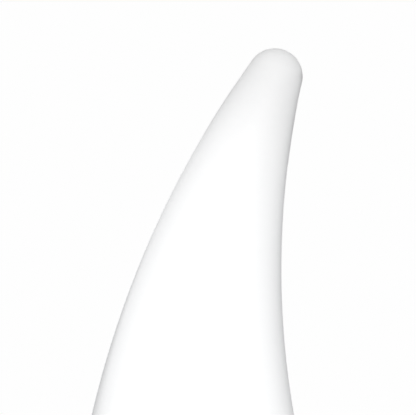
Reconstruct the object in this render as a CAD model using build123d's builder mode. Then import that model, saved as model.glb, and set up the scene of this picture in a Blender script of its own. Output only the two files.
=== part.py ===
from build123d import *
import os
from math import asin, cos, degrees, radians, sin, sqrt

# Battery-lit icicle ornament, in millimetres. It hangs tip down: +Z is up, and the origin is the
# centre of the hanging eye. The milk-white icicle is a blow-moulded shell, a round horn whose
# centre line is an arc that bends towards -X. The shell pushes onto a light unit, which is the cap
# with its switch, coin cells and LED board, and the cap turns and swings on its metal hanger.

# ---- Driving dimensions -------------------------------------------------------------------------

# Icicle shell
bend_radius = 206.0        # centre line of the horn
bend_angle = 24.5          # how far the centre line turns, from the shoulder to the tip ball
shoulder_radius = 24.0     # ball that fits the horn at its shoulder
tip_radius = 6.0           # ball that ends the horn
shell_wall = 1.2
shoulder_drop = 13.0       # height of the rounded shoulder
shoulder_fullness = 0.43   # how far the shoulder's curve holds its end directions, of its chord
neck_height = 12.0
neck_root = 2.0            # fillet between neck and shoulder
horn_stations = 12         # sections that the horn is drawn through

# Hanger
eye_radius = 4.5
eye_rim = 2.7
bail_thickness = 2.4
pivot_drop = 11.0          # bail pin below the eye
leg_width = 2.2
leg_end = 1.9              # bail leg below the pin
bail_edge = 0.35           # rounding of the bail's outline
bail_pin_radius = 0.8
pin_head_radius = 1.15
pin_head = 0.5
pin_head_edge = 0.4        # rounding of the pin's heads
knuckle_radius = 2.2
knuckle_width = 4.0
post_neck_radius = 1.4
post_radius = 1.6
collar_radius = 3.2
collar_drop = 2.6          # top of the collar below the pin
collar_thickness = 1.0
washer_radius = 3.6
washer_thickness = 0.5
clip_radius = 3.4
clip_thickness = 0.5
clip_mouth = 1.9           # opening that snaps over the post
groove_radius = 1.2        # post under the clip
post_tail = 1.1            # post below the clip

# Cap
cap_roof = 2.0
cap_wall = 1.6
cap_edge = 1.2             # rounding of the roof's edge
flute_count = 30
flute_radius = 0.9
flute_depth = 0.5
cap_side = 10.4            # straight fluted side below the roof
bead_radius = 0.7
skirt_height = 3.6
skirt_flare = 2.9
skirt_thickness = 1.2
scallop_count = 12
scallop_radius = 7.4
scallop_rise = 1.6         # how far each scallop cuts into the skirt
chamber = 4.4              # space under the roof for switch and clip
boss_radius = 2.6

# Screws
screw_radius = 1.0
screw_head_radius = 1.9
screw_head = 1.2
small_screw_radius = 0.8
small_head_radius = 1.6
small_head = 1.0
screw_bite = 4.0           # thread in the carrier
drive_width = 0.5          # cross recess
drive_share = 0.6          # its reach, of the head's radius and height

# Switch
switch_length = 8.6
switch_width = 3.6
switch_height = 3.0
switch_inset = 0.9         # terminals, inside the positive blade
switch_travel = 2.0
knob_length = 2.4
knob_width = 1.4
knob_rise = 1.5            # above the roof
foot_length = 3.2
foot_width = 2.2
foot_height = 0.9
terminal_pitch = 2.5
terminal_length = 0.9
terminal_width = 0.8
terminal_thickness = 0.3
cradle_wall = 1.0

# Carrier, cells and contacts
seal_land = 5.0            # thickness of the disc that holds both seal rings
ring_section = 0.75
ring_spacing = 2.3
cell_radius = 10.0
cell_thickness = 3.2
cell_rim = 1.6             # can beyond the button
cell_button = 0.2
cell_count = 2
contact_sheet = 0.3
leaf_height = 1.0
bay_wall = 2.5
floor_thickness = 1.5
blade_width = 2.0
blade_inset = 0.3          # positive blade, inside the cells' edge
cover_thickness = 0.9
cover_span = 110.0         # degrees
cover_inset = 0.25         # door inside the seal disc's edge
flange_width = 7.0
flange_thickness = 1.0

# LED board
standoff = 2.5
standoff_radius = 1.8
standoff_offset = 1.5      # towards -Y
board_inset = 1.6          # board inside the bay's outer wall
board_thickness = 1.0
led_count = 3
led_ring = 6.0
led_radius = 2.5
led_lip = 0.4              # flange beyond the lens
led_flange = 1.0
led_height = 8.6
led_stilt = 0.7
lead_radius = 0.25
lead_pitch = 2.54
lead_tail = 0.8
resistor_ring = 5.0
resistor_radius = 0.8
resistor_length = 3.2
resistor_span = 5.2

# Wires
wire_radius = 0.4
wire_landing_inset = 1.8   # inside the board's edge

# Clearances
running_gap = 0.05         # shaft in bush, seal ring in bore
loose_gap = 0.3            # moulding beside moulding
slot_gap = 0.2             # slider, blade or wire in its slot

# ---- Levels along Z, from the eye down ----------------------------------------------------------

pivot_level = -pivot_drop
collar_foot = pivot_level - collar_drop - collar_thickness
cap_top = collar_foot - washer_thickness - running_gap
roof_foot = cap_top - cap_roof
neck_rim = roof_foot - loose_gap
neck_foot = neck_rim - neck_height
shoulder_top = neck_foot - neck_root
shoulder_level = shoulder_top - shoulder_drop
carrier_top = roof_foot - chamber
seal_foot = carrier_top - seal_land
cells_top = seal_foot - contact_sheet
cells_foot = cells_top - cell_count * cell_thickness
floor_top = cells_foot - leaf_height
floor_foot = floor_top - floor_thickness
board_top = floor_foot - standoff
board_foot = board_top - board_thickness

# ---- Sizes that follow from the cells outwards --------------------------------------------------

bay_radius = cell_radius + loose_gap
bay_middle = bay_radius + bay_wall / 2
bay_outer = bay_radius + bay_wall
cover_inner = bay_outer + running_gap
cover_outer = cover_inner + cover_thickness
pod_radius = cover_outer + cover_inset
neck_bore = pod_radius + loose_gap
neck_radius = neck_bore + shell_wall
cap_bore = neck_radius + loose_gap
cap_radius = cap_bore + cap_wall

ring_radius = neck_bore - running_gap - ring_section
groove_floor = ring_radius - ring_section
boss_spread = groove_floor - boss_radius - slot_gap
blade_offset = cell_radius - blade_inset
switch_offset = blade_offset - switch_inset
wire_offset_x = terminal_pitch
wire_offset_y = sqrt(bay_middle**2 - wire_offset_x**2)
board_radius = bay_outer - board_inset
standoff_spread = board_radius - small_head_radius - board_inset / 2
wire_landing = board_radius - wire_landing_inset
cell_button_radius = cell_radius - cell_rim
led_flange_radius = led_radius + led_lip

# ---- Icicle shell -------------------------------------------------------------------------------

horn_length = bend_radius * radians(bend_angle)
taper = asin((shoulder_radius - tip_radius) / horn_length)


def horn_plane(distance):
    """Section of the horn at a distance along its centre line, facing the tip."""
    turn = distance / bend_radius
    origin = (-bend_radius * (1 - cos(turn)), 0, shoulder_level - bend_radius * sin(turn))
    return Plane(origin, x_dir=(0, 1, 0), z_dir=(-sin(turn), 0, -cos(turn)))


def horn_section(distance, inset):
    """Radius of the horn's section there, with its surface moved in by the inset."""
    return (shoulder_radius - distance * sin(taper) - inset) / cos(taper)


def horn_body(inset, rim):
    """Solid inside the shell's outer surface moved in by the inset, from tip to neck rim."""
    ball = tip_radius - inset
    dome_start = horn_length + ball * sin(taper)
    with BuildPart() as body:
        for index in range(horn_stations + 1):
            distance = dome_start * index / horn_stations
            with BuildSketch(horn_plane(distance)):
                Circle(horn_section(distance, inset))
        loft()
        dome = horn_plane(dome_start)
        with BuildSketch(Plane(dome.origin, x_dir=dome.x_dir, z_dir=dome.x_dir.cross(dome.z_dir))):
            with BuildLine():
                arc = CenterArc((0, -ball * sin(taper)), ball, degrees(taper), 90 - degrees(taper))
                Polyline(arc @ 1, (0, 0), arc @ 0)
            make_face()
        revolve(axis=Axis(dome.origin, dome.z_dir))
        with BuildSketch(Plane.XZ):
            with BuildLine():
                start = Vector(horn_section(0, inset), shoulder_level)
                top = Vector(neck_radius + neck_root, shoulder_top - inset)
                pull = shoulder_fullness * (top - start).length
                along_horn = Vector(sin(taper), cos(taper))
                outwards = Vector(1, 0)
                shoulder = Bezier(start, start + along_horn * pull, top + outwards * pull, top)
                root = RadiusArc(shoulder @ 1, (neck_radius - inset, neck_foot), neck_root + inset)
                Polyline(root @ 1, (neck_radius - inset, rim), (0, rim), (0, shoulder_level), start)
            make_face()
        revolve(axis=Axis.Z)
    return body.part


with BuildPart() as diffuser_shell:
    add(horn_body(0, neck_rim))
    add(horn_body(shell_wall, neck_rim + shell_wall), mode=Mode.SUBTRACT)
    rim_edges = diffuser_shell.edges().filter_by(GeomType.CIRCLE).group_by(Axis.Z)[-1]
    fillet(rim_edges, shell_wall / 4)

# ---- Hanger -------------------------------------------------------------------------------------

leg_gap = knuckle_width / 2 + slot_gap
leg_outer = leg_gap + leg_width

with BuildPart() as hanging_bail:
    with BuildSketch(Plane.XZ.offset(-bail_thickness / 2)):
        Circle(eye_radius + eye_rim)
        with Locations((leg_outer - leg_end, pivot_level), (leg_end - leg_outer, pivot_level)):
            Circle(leg_end)
        make_hull()
        Circle(eye_radius, mode=Mode.SUBTRACT)
        slot_top = pivot_level + knuckle_radius + slot_gap
        with Locations((0, slot_top)):
            Rectangle(2 * leg_gap, 2 * pivot_drop, align=(Align.CENTER, Align.MAX), mode=Mode.SUBTRACT)
    extrude(amount=bail_thickness)
    plate_faces = hanging_bail.faces().filter_by(Axis.Y)
    fillet(plate_faces.edges(), bail_edge)
    with BuildSketch(Plane.YZ.offset(-leg_outer)):
        with Locations((0, pivot_level)):
            Circle(bail_pin_radius)
    extrude(amount=2 * leg_outer, mode=Mode.SUBTRACT)
    for side in (-1, 1):
        with BuildSketch(Plane.YZ.offset(side * leg_outer)):
            with Locations((0, pivot_level)):
                Circle(pin_head_radius + running_gap)
        extrude(amount=side * 2 * pin_head, mode=Mode.SUBTRACT)

with BuildPart() as bail_pin:
    with BuildSketch(Plane.YZ.offset(-leg_outer)):
        with Locations((0, pivot_level)):
            Circle(bail_pin_radius)
    extrude(amount=2 * leg_outer)
    for side in (-1, 1):
        with BuildSketch(Plane.YZ.offset(side * leg_outer)):
            with Locations((0, pivot_level)):
                Circle(pin_head_radius)
        extrude(amount=side * pin_head)
    heads = bail_pin.edges().filter_by(GeomType.CIRCLE)
    fillet(heads.group_by(Axis.X)[0] + heads.group_by(Axis.X)[-1], pin_head_edge)

groove_top = roof_foot - running_gap
groove_foot = groove_top - clip_thickness - 2 * running_gap
post_foot = groove_foot - post_tail

with BuildPart() as swivel_post:
    with BuildSketch(Plane.YZ.offset(-knuckle_width / 2)):
        with Locations((0, pivot_level)):
            Circle(knuckle_radius)
    extrude(amount=knuckle_width)
    fillet(swivel_post.edges().filter_by(GeomType.CIRCLE), knuckle_width / 8)
    with BuildSketch(Plane.XZ):
        with BuildLine():
            Polyline(
                (0, pivot_level),
                (post_neck_radius, pivot_level),
                (post_neck_radius, pivot_level - collar_drop),
                (collar_radius, pivot_level - collar_drop),
                (collar_radius, collar_foot),
                (post_radius, collar_foot),
                (post_radius, groove_top),
                (groove_radius, groove_top),
                (groove_radius, groove_foot),
                (post_radius, groove_foot),
                (post_radius, post_foot),
                (0, post_foot),
                close=True,
            )
        make_face()
    revolve(axis=Axis.Z)
    with BuildSketch(Plane.YZ.offset(-knuckle_width)):
        with Locations((0, pivot_level)):
            Circle(bail_pin_radius + running_gap)
    extrude(amount=2 * knuckle_width, mode=Mode.SUBTRACT)
    chamfer(swivel_post.edges().filter_by(GeomType.CIRCLE).group_by(Axis.Z)[0], post_tail / 4)

with BuildPart() as swivel_washer:
    with BuildSketch(Plane.XY.offset(collar_foot - washer_thickness)):
        Circle(washer_radius)
        Circle(post_radius + running_gap, mode=Mode.SUBTRACT)
    extrude(amount=washer_thickness)

with BuildPart() as retaining_clip:
    with BuildSketch(Plane.XY.offset(groove_foot + running_gap)):
        Circle(clip_radius)
        with PolarLocations(clip_radius, 3, start_angle=30):
            Circle(clip_radius / 4, mode=Mode.SUBTRACT)
        Circle(groove_radius, mode=Mode.SUBTRACT)
        Rectangle(clip_mouth, clip_radius, align=(Align.CENTER, Align.MAX), mode=Mode.SUBTRACT)
    extrude(amount=clip_thickness)

# ---- Cap ----------------------------------------------------------------------------------------

side_foot = roof_foot - cap_side
skirt_foot = side_foot - skirt_height
screw_seat = cap_top - screw_head
stem_gap = slot_gap
slot_length = knob_length + switch_travel + 2 * stem_gap

with BuildPart() as cap_crown:
    with BuildSketch(Plane.XZ):
        with BuildLine():
            Polyline(
                (0, cap_top),
                (cap_radius, cap_top),
                (cap_radius, side_foot),
                (cap_radius + skirt_flare, skirt_foot),
                (cap_radius + skirt_flare - skirt_thickness, skirt_foot),
                (cap_bore, side_foot),
                (cap_bore, roof_foot),
                (0, roof_foot),
                close=True,
            )
        make_face()
    revolve(axis=Axis.Z)
    fillet(cap_crown.edges().filter_by(GeomType.CIRCLE).group_by(Axis.Z)[-1], cap_edge)
    with BuildSketch(Plane.XY.offset(side_foot + bead_radius)):
        with PolarLocations(cap_radius + flute_radius - flute_depth, flute_count):
            Circle(flute_radius)
    extrude(amount=cap_top - cap_edge - side_foot - 2 * bead_radius, mode=Mode.SUBTRACT)
    with BuildSketch(Plane.XZ):
        with Locations((cap_radius, side_foot)):
            Circle(bead_radius)
    revolve(axis=Axis.Z)
    with Locations((0, 0, skirt_foot - scallop_radius + scallop_rise)):
        with PolarLocations(cap_radius + skirt_flare, scallop_count):
            Cylinder(scallop_radius, 3 * skirt_flare, rotation=(0, 90, 0), mode=Mode.SUBTRACT)
    with BuildSketch(Plane.XY.offset(carrier_top)):
        with Locations((boss_spread, 0), (-boss_spread, 0)):
            Circle(boss_radius)
    extrude(amount=roof_foot - carrier_top)
    with BuildSketch(Plane.XY.offset(roof_foot)):
        cradle = switch_length / 2 + running_gap + cradle_wall / 2
        with Locations((cradle, -switch_offset), (-cradle, -switch_offset)):
            Rectangle(cradle_wall, switch_width)
    extrude(amount=-switch_height)
    with BuildSketch(Plane.XY.offset(cap_top)):
        with Locations((boss_spread, 0), (-boss_spread, 0)):
            Circle(screw_head_radius + slot_gap)
    extrude(amount=-screw_head, mode=Mode.SUBTRACT)
    with BuildSketch(Plane.XY.offset(cap_top)):
        Circle(post_radius + running_gap)
        with Locations((boss_spread, 0), (-boss_spread, 0)):
            Circle(screw_radius + running_gap)
        with Locations((0, -switch_offset)):
            Rectangle(slot_length, knob_width + 2 * stem_gap)
    extrude(amount=carrier_top - cap_top, mode=Mode.SUBTRACT)


def pan_screw(x, y, seat, shank, head, length, height, up):
    """Pan-head screw with a cross recess. Its head stands on the seat, its thread points away."""
    with BuildPart() as screw:
        with BuildSketch(Plane.XY.offset(seat)):
            with Locations((x, y)):
                Circle(head)
        extrude(amount=up * height)
        fillet(screw.edges().sort_by(Axis.Z)[-1 if up > 0 else 0], height / 3)
        with BuildSketch(Plane.XY.offset(seat)):
            with Locations((x, y)):
                Circle(shank)
        extrude(amount=-up * length)
        with BuildSketch(Plane.XY.offset(seat + up * height)):
            with Locations((x, y)):
                Rectangle(2 * drive_share * head, drive_width)
                Rectangle(drive_width, 2 * drive_share * head)
        extrude(amount=-up * height * drive_share, mode=Mode.SUBTRACT)
    return screw.part


carrier_screw_length = screw_seat - carrier_top + screw_bite
with BuildPart() as carrier_screws:
    for side in (-1, 1):
        add(pan_screw(side * boss_spread, 0, screw_seat, screw_radius, screw_head_radius,
                      carrier_screw_length, screw_head, 1))

# ---- Switch -------------------------------------------------------------------------------------

switch_foot = roof_foot - switch_height
foot_space = foot_height + 2 * slot_gap
foot_top = roof_foot - slot_gap
terminal_foot = switch_foot - terminal_length

with BuildPart() as switch_body:
    with BuildSketch(Plane.XY.offset(switch_foot)):
        with Locations((0, -switch_offset)):
            Rectangle(switch_length, switch_width)
    extrude(amount=switch_height)
    chamfer(switch_body.edges().filter_by(Axis.Z), cradle_wall / 4)
    with BuildSketch(Plane.XY.offset(roof_foot)):
        with Locations((0, -switch_offset)):
            Rectangle(foot_length + switch_travel + 2 * slot_gap, foot_width + 2 * slot_gap)
    extrude(amount=-foot_space, mode=Mode.SUBTRACT)

with BuildPart() as switch_slider:
    with BuildSketch(Plane.XY.offset(foot_top - foot_height)):
        with Locations((-switch_travel / 2, -switch_offset)):
            Rectangle(foot_length, foot_width)
    extrude(amount=foot_height)
    with BuildSketch(Plane.XY.offset(foot_top)):
        with Locations((-switch_travel / 2, -switch_offset)):
            Rectangle(knob_length, knob_width)
    extrude(amount=cap_top + knob_rise - foot_top)
    knob_edges = switch_slider.faces().sort_by(Axis.Z)[-1].edges()
    chamfer(knob_edges, knob_width / 8)
    rib = knob_length / 8
    with BuildSketch(Plane.XY.offset(cap_top + knob_rise)):
        with Locations((-switch_travel / 2, -switch_offset)):
            with GridLocations(2 * rib, 0, 3, 1):
                Rectangle(rib, knob_width)
    extrude(amount=-rib, mode=Mode.SUBTRACT)

with BuildPart() as switch_terminals:
    with BuildSketch(Plane.XY.offset(terminal_foot)):
        with Locations((0, -switch_offset)):
            with GridLocations(terminal_pitch, 0, 3, 1):
                Rectangle(terminal_width, terminal_thickness)
    extrude(amount=terminal_length)

# ---- Carrier, cells and contacts ----------------------------------------------------------------

ring_middle = carrier_top - seal_land / 2
ring_levels = (ring_middle + ring_spacing / 2, ring_middle - ring_spacing / 2)
groove_height = 2 * ring_section + slot_gap

with BuildPart() as carrier:
    with BuildSketch(Plane.XY.offset(seal_foot)):
        Circle(pod_radius)
    extrude(amount=seal_land)
    for level in ring_levels:
        with BuildSketch(Plane.XY.offset(level - groove_height / 2)):
            Circle(pod_radius)
            Circle(groove_floor, mode=Mode.SUBTRACT)
        extrude(amount=groove_height, mode=Mode.SUBTRACT)
    with BuildSketch(Plane.XY.offset(floor_foot)):
        Circle(bay_outer)
    extrude(amount=seal_foot - floor_foot)
    with BuildSketch(Plane.XY.offset(floor_top)):
        Circle(bay_radius)
        Rectangle(2 * bay_radius, 2 * bay_outer, align=(Align.CENTER, Align.MIN))
    extrude(amount=seal_foot - floor_top, mode=Mode.SUBTRACT)
    with BuildSketch(Plane.XY.offset(board_top)):
        with Locations((standoff_spread, -standoff_offset), (-standoff_spread, -standoff_offset)):
            Circle(standoff_radius)
    extrude(amount=standoff)
    with BuildSketch(Plane.XY.offset(carrier_top)):
        with Locations((boss_spread, 0), (-boss_spread, 0)):
            Circle(screw_radius)
    extrude(amount=-screw_bite, mode=Mode.SUBTRACT)
    with BuildSketch(Plane.XY.offset(board_top)):
        with Locations((standoff_spread, -standoff_offset), (-standoff_spread, -standoff_offset)):
            Circle(small_screw_radius)
    extrude(amount=standoff, mode=Mode.SUBTRACT)
    with BuildSketch(Plane.XY.offset(floor_foot)):
        with Locations((0, bay_middle)):
            Circle(small_screw_radius)
        Rectangle(blade_width + 2 * slot_gap, contact_sheet + 2 * slot_gap)
    extrude(amount=floor_thickness, mode=Mode.SUBTRACT)
    with BuildSketch(Plane.XY.offset(seal_foot)):
        with Locations((0, -blade_offset)):
            Rectangle(blade_width + 2 * slot_gap, contact_sheet + 2 * slot_gap)
    extrude(amount=seal_land, mode=Mode.SUBTRACT)
    with BuildSketch(Plane.XY.offset(floor_foot)):
        with Locations((wire_offset_x, -wire_offset_y)):
            Circle(wire_radius + slot_gap)
    extrude(amount=carrier_top - floor_foot, mode=Mode.SUBTRACT)


def seal_ring(level):
    """Rubber ring of round section that seals the carrier in the shell's neck."""
    with BuildPart() as ring:
        with Locations((0, 0, level)):
            Torus(ring_radius, ring_section)
    return ring.part


with BuildPart() as seal_ring_upper:
    add(seal_ring(ring_levels[0]))

with BuildPart() as seal_ring_lower:
    add(seal_ring(ring_levels[1]))


def coin_cell(top):
    """Coin cell with its can upwards and its smaller negative button below."""
    edge = cell_thickness / 8
    with BuildPart() as cell:
        with BuildSketch(Plane.XZ):
            with BuildLine():
                Polyline(
                    (0, top),
                    (cell_radius - edge, top),
                    (cell_radius, top - edge),
                    (cell_radius, top - cell_thickness + cell_button),
                    (cell_button_radius + edge, top - cell_thickness + cell_button),
                    (cell_button_radius, top - cell_thickness),
                    (0, top - cell_thickness),
                    close=True,
                )
            make_face()
        revolve(axis=Axis.Z)
    return cell.part


with BuildPart() as cell_upper:
    add(coin_cell(cells_top))

with BuildPart() as cell_lower:
    add(coin_cell(cells_top - cell_thickness))

with BuildPart() as positive_contact:
    with BuildSketch(Plane.XY.offset(cells_top)):
        Circle(cell_button_radius)
        with GridLocations(cell_button_radius, 0, 2, 1):
            SlotOverall(cell_button_radius, blade_width, rotation=90, mode=Mode.SUBTRACT)
        blade_back = blade_offset + contact_sheet / 2
        Rectangle(blade_width, blade_back, align=(Align.CENTER, Align.MAX))
    extrude(amount=contact_sheet)
    with BuildSketch(Plane.XY.offset(cells_top)):
        with Locations((0, -blade_offset)):
            Rectangle(blade_width, contact_sheet)
    extrude(amount=carrier_top + blade_width / 2 - cells_top)

with BuildPart() as negative_contact:
    leaf_reach = cell_radius / 2
    with BuildSketch(Plane.XY.offset(floor_top)):
        Rectangle(2 * leaf_reach, 2 * blade_width)
    extrude(amount=contact_sheet)
    with BuildSketch(Plane.XZ.offset(-blade_width)):
        with BuildLine():
            half = contact_sheet / 2
            ThreePointArc(
                (-leaf_reach, floor_top + half),
                (0, floor_top + leaf_height - half),
                (leaf_reach, floor_top + half),
            )
        trace(line_width=contact_sheet)
    extrude(amount=2 * blade_width)
    with BuildSketch(Plane.XY.offset(floor_top + contact_sheet)):
        Rectangle(blade_width, contact_sheet)
    extrude(amount=board_foot - lead_tail - floor_top - contact_sheet)

cover_top = seal_foot - slot_gap
flange_top = floor_foot - running_gap

with BuildPart() as cell_cover:
    with BuildSketch(Plane.XY.offset(flange_top - flange_thickness)):
        Circle(cover_outer)
        Circle(cover_inner, mode=Mode.SUBTRACT)
        with BuildLine(mode=Mode.PRIVATE) as wedge_line:
            reach = 2 * cover_outer
            half_span = radians(cover_span / 2)
            corner = (reach * sin(half_span), reach * cos(half_span))
            Polyline((0, 0), corner, (-corner[0], corner[1]), close=True)
        wedge = make_face(wedge_line.edges(), mode=Mode.PRIVATE)
        add(wedge, mode=Mode.INTERSECT)
    extrude(amount=cover_top - flange_top + flange_thickness)
    with BuildSketch(Plane.XY.offset(flange_top)):
        flange_edge = bay_middle - small_head_radius - loose_gap
        with Locations((0, flange_edge)):
            flange_depth = cover_inner + running_gap - flange_edge
            Rectangle(flange_width, flange_depth, align=(Align.CENTER, Align.MIN))
    extrude(amount=-flange_thickness)
    with BuildSketch(Plane.XY.offset(flange_top)):
        with Locations((0, bay_middle)):
            Circle(small_screw_radius + running_gap)
    extrude(amount=-flange_thickness, mode=Mode.SUBTRACT)

with BuildPart() as cover_screw:
    add(pan_screw(0, bay_middle, flange_top - flange_thickness, small_screw_radius,
                  small_head_radius, flange_thickness + floor_thickness, small_head, -1))

# ---- LED board ----------------------------------------------------------------------------------

led_seat = board_foot - led_stilt

with BuildPart() as led_board:
    with BuildSketch(Plane.XY.offset(board_foot)):
        Circle(board_radius)
        with Locations((0, bay_middle)):
            Circle(small_head_radius + loose_gap, mode=Mode.SUBTRACT)
        with Locations((standoff_spread, -standoff_offset), (-standoff_spread, -standoff_offset)):
            Circle(small_screw_radius + running_gap, mode=Mode.SUBTRACT)
        Rectangle(blade_width + slot_gap, contact_sheet + slot_gap, mode=Mode.SUBTRACT)
        with Locations((wire_offset_x, -wire_landing)):
            Circle(wire_radius, mode=Mode.SUBTRACT)
        with PolarLocations(led_ring, led_count, start_angle=-90):
            with GridLocations(0, lead_pitch, 1, 2):
                Circle(lead_radius, mode=Mode.SUBTRACT)
        with PolarLocations(resistor_ring, led_count, start_angle=90):
            with GridLocations(0, resistor_span, 1, 2):
                Circle(lead_radius, mode=Mode.SUBTRACT)
    extrude(amount=board_thickness)

with BuildPart() as board_screws:
    for side in (-1, 1):
        add(pan_screw(side * standoff_spread, -standoff_offset, board_foot, small_screw_radius,
                      small_head_radius, board_thickness + standoff, small_head, -1))


def board_plane(radius, angle, level):
    """Plane at a place on the board, with its X away from the middle."""
    turn = radians(angle)
    place = (radius * cos(turn), radius * sin(turn), level)
    return Plane(place, x_dir=(cos(turn), sin(turn), 0), z_dir=(0, 0, 1))


def led(angle):
    """Round LED pointing down, with two leads that pass through the board."""
    seat = board_plane(led_ring, angle, led_seat)
    profile = Plane(seat.origin, x_dir=seat.x_dir, z_dir=seat.x_dir.cross(seat.z_dir))
    with BuildPart() as lamp:
        with BuildSketch(profile):
            with BuildLine():
                straight = led_height - led_radius
                Polyline(
                    (0, -led_height),
                    (0, 0),
                    (led_flange_radius, 0),
                    (led_flange_radius, -led_flange),
                    (led_radius, -led_flange),
                    (led_radius, -straight),
                )
                CenterArc((0, -straight), led_radius, -90, 90)
            make_face()
        revolve(axis=Axis(seat.origin, seat.z_dir))
        with BuildSketch(seat):
            with GridLocations(0, lead_pitch, 1, 2):
                Circle(lead_radius)
        extrude(amount=led_stilt + board_thickness + lead_tail)
    return lamp.part


def resistor(angle):
    """Axial resistor lying on the board, with its two leads bent down through it."""
    seat = board_plane(resistor_ring, angle, board_top + resistor_radius)
    end = resistor_span / 2
    with BuildPart() as body:
        with BuildLine(seat):
            path = FilletPolyline(
                (0, -end, -resistor_radius - board_thickness - lead_tail),
                (0, -end, 0),
                (0, end, 0),
                (0, end, -resistor_radius - board_thickness - lead_tail),
                radius=2 * lead_radius,
            )
        with BuildSketch(Plane(path @ 0, z_dir=path % 0)):
            Circle(lead_radius)
        sweep(path=path)
        across = Plane(seat.origin, x_dir=seat.x_dir, z_dir=seat.y_dir)
        with BuildSketch(across.offset(-resistor_length / 2)):
            Circle(resistor_radius)
        extrude(amount=resistor_length)
        ends = body.edges().filter_by(GeomType.CIRCLE).filter_by(
            lambda edge: abs(edge.radius - resistor_radius) < lead_radius / 4)
        fillet(ends, resistor_radius / 3)
    return body.part


leds = [led(360 * index / led_count - 90) for index in range(led_count)]
resistors = [resistor(360 * index / led_count + 90) for index in range(led_count)]

# ---- Wires --------------------------------------------------------------------------------------


def wire(points, radius):
    """Insulated wire along straight runs with one bend radius."""
    with BuildPart() as strand:
        with BuildLine():
            path = FilletPolyline(*points, radius=radius)
        with BuildSketch(Plane(path @ 0, z_dir=path % 0)):
            Circle(wire_radius)
        sweep(path=path)
    return strand.part


wire_level = terminal_foot + wire_radius / 2
terminal_face = switch_offset + terminal_thickness / 2
wire_bend = 2 * wire_radius
hook_bend = 1.4 * wire_radius
wire_dip = (floor_foot + 2 * board_top) / 3

with BuildPart() as wire_positive:
    blade_face = blade_offset + contact_sheet / 2 + wire_radius
    loop_back = blade_face + 2 * wire_bend
    add(wire([
        (0, -blade_face, wire_level),
        (-terminal_pitch / 2, -blade_face, wire_level),
        (-terminal_pitch / 2, -loop_back, wire_level),
        (-terminal_pitch, -loop_back, wire_level),
        (-terminal_pitch, -terminal_face, wire_level),
    ], hook_bend))

with BuildPart() as wire_switched:
    add(wire([
        (wire_offset_x, -terminal_face, wire_level),
        (wire_offset_x, -wire_offset_y, wire_level),
        (wire_offset_x, -wire_offset_y, wire_dip),
        (wire_offset_x, -wire_landing, wire_dip),
        (wire_offset_x, -wire_landing, board_foot),
    ], wire_bend))

# ---- Files --------------------------------------------------------------------------------------

pieces = {
    "hanging_bail": hanging_bail.part,
    "bail_pin": bail_pin.part,
    "swivel_post": swivel_post.part,
    "swivel_washer": swivel_washer.part,
    "retaining_clip": retaining_clip.part,
    "cap_crown": cap_crown.part,
    "carrier_screws": carrier_screws.part,
    "switch_body": switch_body.part,
    "switch_slider": switch_slider.part,
    "switch_terminals": switch_terminals.part,
    "carrier": carrier.part,
    "seal_ring_upper": seal_ring_upper.part,
    "seal_ring_lower": seal_ring_lower.part,
    "cell_upper": cell_upper.part,
    "cell_lower": cell_lower.part,
    "positive_contact": positive_contact.part,
    "negative_contact": negative_contact.part,
    "cell_cover": cell_cover.part,
    "cover_screw": cover_screw.part,
    "led_board": led_board.part,
    "board_screws": board_screws.part,
    "wire_positive": wire_positive.part,
    "wire_switched": wire_switched.part,
    "diffuser_shell": diffuser_shell.part,
}
for index in range(led_count):
    pieces[f"led_{index + 1}"] = leds[index]
    pieces[f"resistor_{index + 1}"] = resistors[index]

os.makedirs("parts", exist_ok=True)
for name, piece in pieces.items():
    piece.label = name
    export_step(piece, f"parts/{name}.step")
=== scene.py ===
import bpy
from math import asin, atan2, cos, degrees, hypot, pi, radians, sin, sqrt, tan
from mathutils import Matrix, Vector


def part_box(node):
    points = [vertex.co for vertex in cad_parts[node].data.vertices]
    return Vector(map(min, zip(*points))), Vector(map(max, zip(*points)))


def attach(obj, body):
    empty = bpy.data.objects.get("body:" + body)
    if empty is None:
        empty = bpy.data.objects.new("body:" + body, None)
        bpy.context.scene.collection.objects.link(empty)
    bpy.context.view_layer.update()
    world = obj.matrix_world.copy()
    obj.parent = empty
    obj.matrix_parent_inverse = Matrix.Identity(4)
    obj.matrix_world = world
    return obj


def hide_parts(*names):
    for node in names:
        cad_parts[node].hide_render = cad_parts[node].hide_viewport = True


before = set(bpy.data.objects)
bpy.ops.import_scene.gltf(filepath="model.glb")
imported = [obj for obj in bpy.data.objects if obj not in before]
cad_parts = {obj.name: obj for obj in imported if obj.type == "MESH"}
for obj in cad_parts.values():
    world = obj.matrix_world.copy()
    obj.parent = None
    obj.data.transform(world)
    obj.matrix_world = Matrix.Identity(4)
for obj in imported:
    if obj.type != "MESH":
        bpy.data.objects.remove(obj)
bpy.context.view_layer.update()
bpy.ops.object.select_all(action="DESELECT")

# ---- Camera -------------------------------------------------------------------------------------
# The ornament hangs tip down, and is looked at from the front with the camera turned over, so that
# the tip stands at the top of the picture. The frame takes in the icicle from tip to shoulder.

view_distance = 0.70
view_width = 0.0912        # width of the frame at the icicle
view_side = 0.0037         # middle of the frame to the side of the hanging eye
view_height = 0.0347       # middle of the frame above the icicle's tip
view_lean = -0.38          # roll in degrees, besides the half turn
sensor_width = 36

icicle_low, icicle_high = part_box("diffuser_shell")
bpy.ops.object.camera_add(
    location=(-view_side, -view_distance, icicle_low.z + view_height),
    rotation=(radians(-90), radians(view_lean), radians(180)),
)
camera = bpy.context.object
camera.name = "camera"
camera.data.sensor_width = sensor_width
camera.data.lens = sensor_width * view_distance / view_width
camera.data.clip_start = 0.01
camera.data.clip_end = 20
bpy.context.scene.camera = camera

# ---- Hanger -------------------------------------------------------------------------------------
# Stamped steel plate with the hanging eye, a turned post that swings between its legs on a riveted
# pin, and the nylon washer and spring clip that hold the post in the cap. The metal is plated.


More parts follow.
